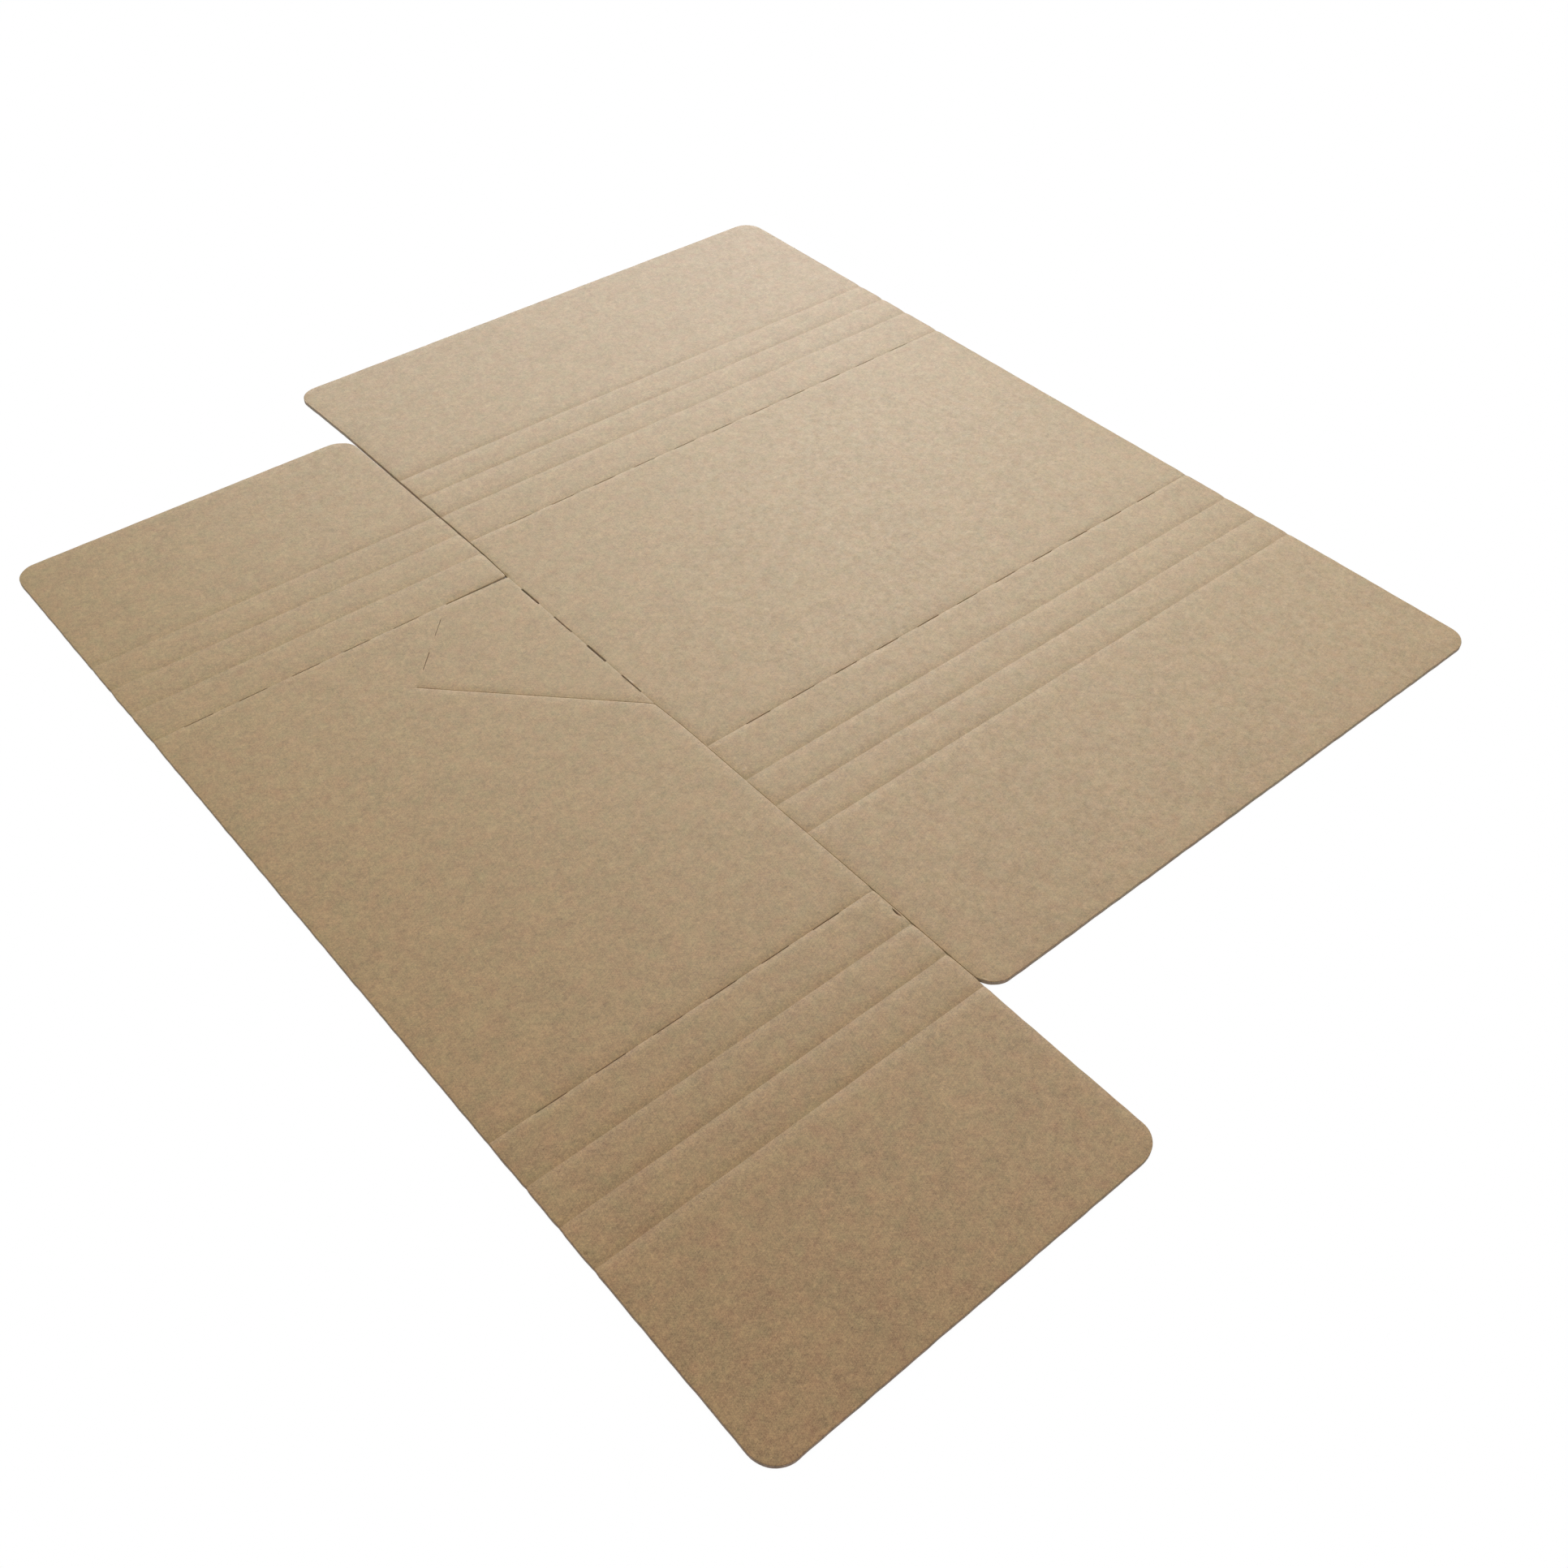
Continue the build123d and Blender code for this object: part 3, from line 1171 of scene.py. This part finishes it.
        below = len(top)
        walls = [
            (a, below + numbers[place[a]], below + numbers[place[b]], b) for a, b in rim.tolist()
        ]
        heights = np.repeat((self.board_thickness, 0.0), (len(top), len(base)))
        flat = np.concatenate((top, base)) - np.array(self.drawing.box_middle)
        co = np.column_stack((flat, heights)) * MILLIMETRE
        faces = top_faces.tolist() + (base_faces[:, ::-1] + below).tolist() + walls
        mesh = bpy.data.meshes.new("flat_sheet")
        mesh.from_pydata(co.tolist(), [], faces)
        mark = mesh.attributes.new("knife_cut", "BOOLEAN", "FACE")
        mark.data.foreach_set("value", [len(face) == 4 for face in faces])
        return mesh

    def rim_edges(self, faces: np.ndarray) -> np.ndarray:
        """Finds the sides that belong to one triangle only.

        Args:
            faces: the triangles as rows of three point numbers.
        Returns:
            Rows of two point numbers, with the sheet on the left of each side.
        """
        sides = np.concatenate([faces[:, [0, 1]], faces[:, [1, 2]], faces[:, [2, 0]]])
        ordered = np.sort(sides, axis=1)
        _, first, times = np.unique(ordered, axis=0, return_index=True, return_counts=True)
        return sides[first[times == 1]]

    def line_object(self, name: str, strokes: list[tuple[Points, bool, dict[str, float | np.ndarray]]]
                    ) -> bpy.types.Object:
        """Draws lines for the tree to measure from.

        Args:
            name: the drawing's name.
            strokes: rows of points, whether each is closed, and the sizes that its sides carry.
        Returns:
            An object of bare edges that lie on the sheet's upper face, each with its sizes.
        """
        rows = [(row, closed) for row, closed, _ in strokes]
        sides = side_pairs(rows)
        sizes: dict[str, list[float]] = {}
        for pairs, (_, _, form) in zip(sides, strokes):
            for size, value in form.items():
                given = np.broadcast_to(np.multiply(value, MILLIMETRE), len(pairs))
                sizes.setdefault(size, []).extend(given.tolist())
        flat = np.concatenate([row for row, _ in rows]) - np.array(self.drawing.box_middle)
        co = np.column_stack((flat, np.full(len(flat), self.board_thickness))) * MILLIMETRE
        mesh = bpy.data.meshes.new(name)
        mesh.from_pydata(co.tolist(), [pair for pairs in sides for pair in pairs], [])
        for size, given in sizes.items():
            mesh.attributes.new(size, "FLOAT", "EDGE").data.foreach_set("value", given)
        drawn = bpy.data.objects.new(name, mesh)
        bpy.context.scene.collection.objects.link(drawn)
        return drawn

    def pressed(self, shape: ShapeTree, group: LineGroup, place: bpy.types.Node) -> Socket:
        """Adds how deep the lines of one group press the board in.

        Args:
            shape: the relief tree.
            group: the lines.
            place: the node that holds a point's X, Y and Z.
        Returns:
            The depth's socket.
        """
        pad = shape.pad
        lines = DrawnLines(shape, group.value)
        rule = pad.math("DIVIDE", lines.away, shape.number("Rule half width"), clamp=True)
        wave = pad.math("COSINE", pad.math("MULTIPLY", rule, math.pi))
        groove = pad.math("MULTIPLY_ADD", wave, 0.5, 0.5)
        if group is LineGroup.TAB:
            slope = lines.fall(shape.number("Tab shoulder width"), lines.size("shoulder"))
            return pad.math("MULTIPLY_ADD", groove, lines.size("depth"), slope)
        reach = shape.number("Shoulder width")
        front = pad.math("LESS_THAN", place.outputs["Y"], lines.size("height"))
        change = pad.math("SUBTRACT", lines.size("front_reach"), reach)
        slope = lines.fall(pad.math("MULTIPLY_ADD", front, change, reach), lines.size("shoulder"))
        depth = pad.math("MULTIPLY_ADD", groove, lines.size("depth"), slope)
        side = "LESS_THAN" if group is LineGroup.NARROW else "GREATER_THAN"
        return pad.math("MULTIPLY", depth, pad.math(side, place.outputs["X"], shape.number("Common line")))

    def patches(self, shape: ShapeTree, position: Socket, length: float, detail: float) -> Socket:
        """Adds a noise over the sheet, fixed by the tree's seed.

        Args:
            shape: the relief tree.
            position: a point's place, in metres.
            length: length of a patch, in millimetres.
            detail: how many finer layers lie over it.
        Returns:
            The pattern's socket.
        """
        node = shape.pad.add("ShaderNodeTexNoise", {"noise_dimensions": "4D"}, Vector=position,
                             W=shape.number("Seed"), Scale=1 / (length * MILLIMETRE), Detail=detail)
        return node.outputs[0]

    def relief_tree(self, liner: bpy.types.Material, cut_edge: bpy.types.Material) -> ShapeTree:
        """Builds the tree that presses the lines in, rolls the knife edges and dresses the faces.

        Args:
            liner: the finish of the faces.
            cut_edge: the finish of the walls.
        Returns:
            The tree.
        """
        shape = ShapeTree("board_relief")
        pad = shape.pad
        position = pad.add("GeometryNodeInputPosition").outputs[0]
        place = pad.add("ShaderNodeSeparateXYZ", Vector=position)

        sunk: Value = 0.0
        for group in LineGroup:
            sunk = pad.math("ADD", sunk, self.pressed(shape, group, place))
        stray = pad.math("SUBTRACT", self.patches(shape, position, self.line_patch, 2.0), 0.5)
        spread = pad.math("MULTIPLY", shape.number("Line unevenness"), NOISE_SPAN)
        sunk = pad.math("MULTIPLY", sunk, pad.math("MULTIPLY_ADD", stray, spread, 1.0))

        outline, cuts = DrawnLines(shape, "Outline"), DrawnLines(shape, "Through cuts")
        slope = outline.fall(shape.number("Edge reach"), outline.size("sink"))
        sunk = pad.math("ADD", sunk, slope)
        for lines in (outline, cuts):
            sunk = pad.math("ADD", sunk, lines.fall(lines.size("roll"), lines.size("depth")))
        waves = self.patches(shape, position, self.wave_length, 1.0)
        sunk = pad.math("MULTIPLY_ADD", waves, shape.number("Wave height"), sunk)

        top_level = pad.math("MULTIPLY", shape.number("Board thickness"), self.top_share)
        top = pad.math("GREATER_THAN", place.outputs["Z"], top_level)
        fall = pad.add("ShaderNodeCombineXYZ", Z=pad.math("MULTIPLY", sunk, -1.0))
        shaped = pad.add("GeometryNodeSetPosition", Geometry=shape.source.outputs["Geometry"],
                         Selection=top, Offset=fall.outputs[0])
        dressed = shape.finish(shaped.outputs[0], liner)
        walls = pad.add("GeometryNodeInputNamedAttribute", {"data_type": "BOOLEAN"}, Name="knife_cut")
        cut = pad.add("GeometryNodeSetMaterial", Geometry=dressed, Selection=walls.outputs[0],
                      Material=cut_edge)
        pad.feed(shape.result.inputs[0], cut.outputs[0])
        return shape

    def drawings(self, outline: Points, cuts: list[Points]) -> dict[str, bpy.types.Object]:
        """Draws the lines that the relief tree measures from.

        Args:
            outline: the sheet's outline.
            cuts: the through cuts.
        Returns:
            The drawings by the name of the tree's input.
        """
        lines = self.drawing.pressed_lines()
        drawn = {
            group.value: self.line_object(group.name.lower(), [
                (np.array((line.start, line.end)), False, line.form(self.drawing.box_middle[1]))
                for line in lines if line.group is group
            ])
            for group in LineGroup
        }
        drawn["Outline"] = self.line_object("outline", [(outline, True, self.edge_form(outline))])
        cut_form = {"roll": self.cut_roll, "depth": self.cut_roll_depth}
        drawn["Through cuts"] = self.line_object("cuts", [(cut, True, cut_form) for cut in cuts])
        return drawn

    def build(self) -> bpy.types.Object:
        """Builds and dresses the sheet, and sets it in the place of the CAD node.

        Returns:
            The sheet's object.
        """
        liner, cut_edge = self.liner.material(), self.cut_edge.material()
        outline = self.worn_edge(self.drawing.outline())
        cuts = self.pattern.loops(cut_edge)
        flat = self.flat_sheet(outline, cuts)
        values = {
            "Board thickness": self.board_thickness, "Wave height": self.waviness,
            "Rule half width": self.rule_width / 2, "Shoulder width": self.drawing.shoulder_reach,
            "Common line": self.drawing.cut_drift - self.drawing.box_middle[0],
            "Tab shoulder width": self.tab_shoulder_width, "Edge reach": self.edge_reach,
        }
        values = {name: value * MILLIMETRE for name, value in values.items()}
        drawn = self.drawings(outline, cuts)
        tree = self.relief_tree(liner, cut_edge)
        shares = {"Line unevenness": self.line_unevenness, "Seed": self.relief_seed}
        mesh = tree.plain_mesh(flat, values | drawn | shares)
        mesh.name = "board_sheet"
        mesh.shade_smooth()
        mesh.set_sharp_from_angle(angle=math.radians(self.sharp_angle))
        for helper in drawn.values():
            bpy.data.objects.remove(helper)
        sheet = bpy.data.objects.new("board_sheet", mesh)
        bpy.context.scene.collection.objects.link(sheet)
        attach(sheet, "root")
        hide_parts("blank")
        return sheet


@dataclass(frozen=True)
class Softbox:
    """A square soft lamp, aimed at the middle of the sheet: degrees, metres and watts."""

    name: str
    azimuth: float
    elevation: float
    distance: float
    size: float
    power: float

    def build(self) -> bpy.types.Object:
        """Hangs the lamp.

        Returns:
            The lamp's object.
        """
        turn, lift = math.radians(self.azimuth), math.radians(self.elevation)
        level = math.cos(lift)
        reach = Vector((math.cos(turn) * level, math.sin(turn) * level, math.sin(lift)))
        data = bpy.data.lights.new(self.name, "AREA")
        data.shape = "SQUARE"
        data.size = self.size
        data.energy = self.power
        lamp = bpy.data.objects.new(self.name, data)
        lamp.location = reach * self.distance
        lamp.rotation_euler = reach.to_track_quat("Z", "Y").to_euler()
        bpy.context.scene.collection.objects.link(lamp)
        return lamp


@dataclass(frozen=True)
class FloorFinish:
    """A white floor that shows white to the camera and keeps a faint contact shadow."""

    name: str = "studio_white"
    albedo: float = 0.95
    shadow_reach: float = 5.0
    shadow_strength: float = 0.8
    shadow_fade: float = 4.0
    shadow_samples: int = 16

    def material(self) -> bpy.types.Material:
        """Builds the node material.

        Returns:
            The material.
        """
        material = bpy.data.materials.new(self.name)
        material.use_nodes = True
        tree = material.node_tree
        tree.nodes.clear()
        pad = NodePad(tree)
        plain = pad.add("ShaderNodeBsdfDiffuse", Color=(self.albedo,) * 3 + (1.0,))
        corner = pad.add("ShaderNodeAmbientOcclusion", {"samples": self.shadow_samples},
                         Distance=self.shadow_reach * MILLIMETRE)
        dark = pad.math("POWER", pad.math("SUBTRACT", 1.0, corner.outputs["AO"]), self.shadow_fade)
        level = pad.math("MULTIPLY_ADD", dark, -self.shadow_strength, 1.0)
        white = pad.add("ShaderNodeEmission", Color=(1.0, 1.0, 1.0, 1.0), Strength=level)
        mix = pad.add("ShaderNodeMixShader", Fac=seen_directly(pad))
        pad.feed(mix.inputs[1], plain.outputs[0])
        pad.feed(mix.inputs[2], white.outputs[0])
        pad.add("ShaderNodeOutputMaterial", Surface=mix.outputs[0])
        return material


def seen_directly(pad: NodePad) -> Socket:
    """Tells the rays that show a background: camera, glossy and transmission rays.

    Args:
        pad: where the nodes go.
    Returns:
        The socket of a number that is 1 for such a ray and 0 for others.
    """
    path = pad.add("ShaderNodeLightPath")
    seen = pad.math("MAXIMUM", path.outputs["Is Camera Ray"], path.outputs["Is Glossy Ray"])
    return pad.math("MAXIMUM", seen, path.outputs["Is Transmission Ray"])


@dataclass
class Studio:
    """The plain studio: a white floor, a white surround, two soft lamps and the camera.

    Places and sizes are in metres, apart from the floor's gap, the lens and the sensor.
    """

    lamps: tuple[Softbox, ...] = (
        Softbox("key_softbox", 58.9, 25.9, 2.347, 1.49, 25.61),
        Softbox("side_softbox", 28.8, 39.6, 1.503, 0.93, 11.57),
    )
    world_level: float = 0.288
    floor_finish: FloorFinish = field(default_factory=FloorFinish)
    floor_size: float = 8.0
    floor_gap: float = 0.02
    camera_place: tuple[float, float, float] = (-0.28945, -0.341891, 0.375684)
    camera_forward: tuple[float, float, float] = (0.466246, 0.522937, -0.713549)
    camera_roll: float = 1.553
    lens: float = 37.4716
    sensor: float = 36.0
    nearest_seen: float = 0.01

    def floor(self) -> bpy.types.Object:
        """Lays the floor just under the sheet.

        Returns:
            The floor's object.
        """
        half = self.floor_size / 2
        height = -self.floor_gap * MILLIMETRE
        corners = [
            (x * half, y * half, height) for x, y in ((-1, -1), (1, -1), (1, 1), (-1, 1))
        ]
        mesh = bpy.data.meshes.new("studio_floor")
        mesh.from_pydata(corners, [], [(0, 1, 2, 3)])
        mesh.materials.append(self.floor_finish.material())
        floor = bpy.data.objects.new("studio_floor", mesh)
        bpy.context.scene.collection.objects.link(floor)
        return floor

    def surround(self) -> None:
        """Sets the world: white where it is seen, and a soft fill as light."""
        world = bpy.data.worlds.new("studio_surround")
        world.use_nodes = True
        pad = NodePad(world.node_tree)
        background = world.node_tree.nodes["Background"]
        background.inputs["Color"].default_value = (1.0, 1.0, 1.0, 1.0)
        level = pad.math("MULTIPLY_ADD", seen_directly(pad), 1.0 - self.world_level, self.world_level)
        pad.feed(background.inputs["Strength"], level)
        bpy.context.scene.world = world

    def camera(self) -> bpy.types.Object:
        """Sets the camera at the photograph's viewpoint.

        Returns:
            The camera's object.
        """
        data = bpy.data.cameras.new("photo_camera")
        data.sensor_width = self.sensor
        data.lens = self.lens
        data.clip_start = self.nearest_seen
        camera = bpy.data.objects.new("photo_camera", data)
        camera.location = self.camera_place
        level = Vector(self.camera_forward).to_track_quat("-Z", "Y")
        rolled = level @ Quaternion((0, 0, 1), math.radians(self.camera_roll))
        camera.rotation_euler = rolled.to_euler()
        bpy.context.scene.collection.objects.link(camera)
        bpy.context.scene.camera = camera
        return camera

    def build(self) -> None:
        """Sets up floor, surround, lamps and camera."""
        self.floor()
        self.surround()
        for lamp in self.lamps:
            lamp.build()
        self.camera()
        bpy.context.scene.view_settings.view_transform = "Standard"


def main() -> None:
    """Builds the sheet and the studio in order."""
    logging.basicConfig(level=logging.INFO, format="%(name)s: %(message)s")
    sheet = BoardSheet().build()
    log.info("board sheet: %d triangles", sum(len(face.vertices) - 2 for face in sheet.data.polygons))
    Studio().build()
    log.info("studio: floor, surround, lamps and camera")


if __name__ == "__main__":
    main()
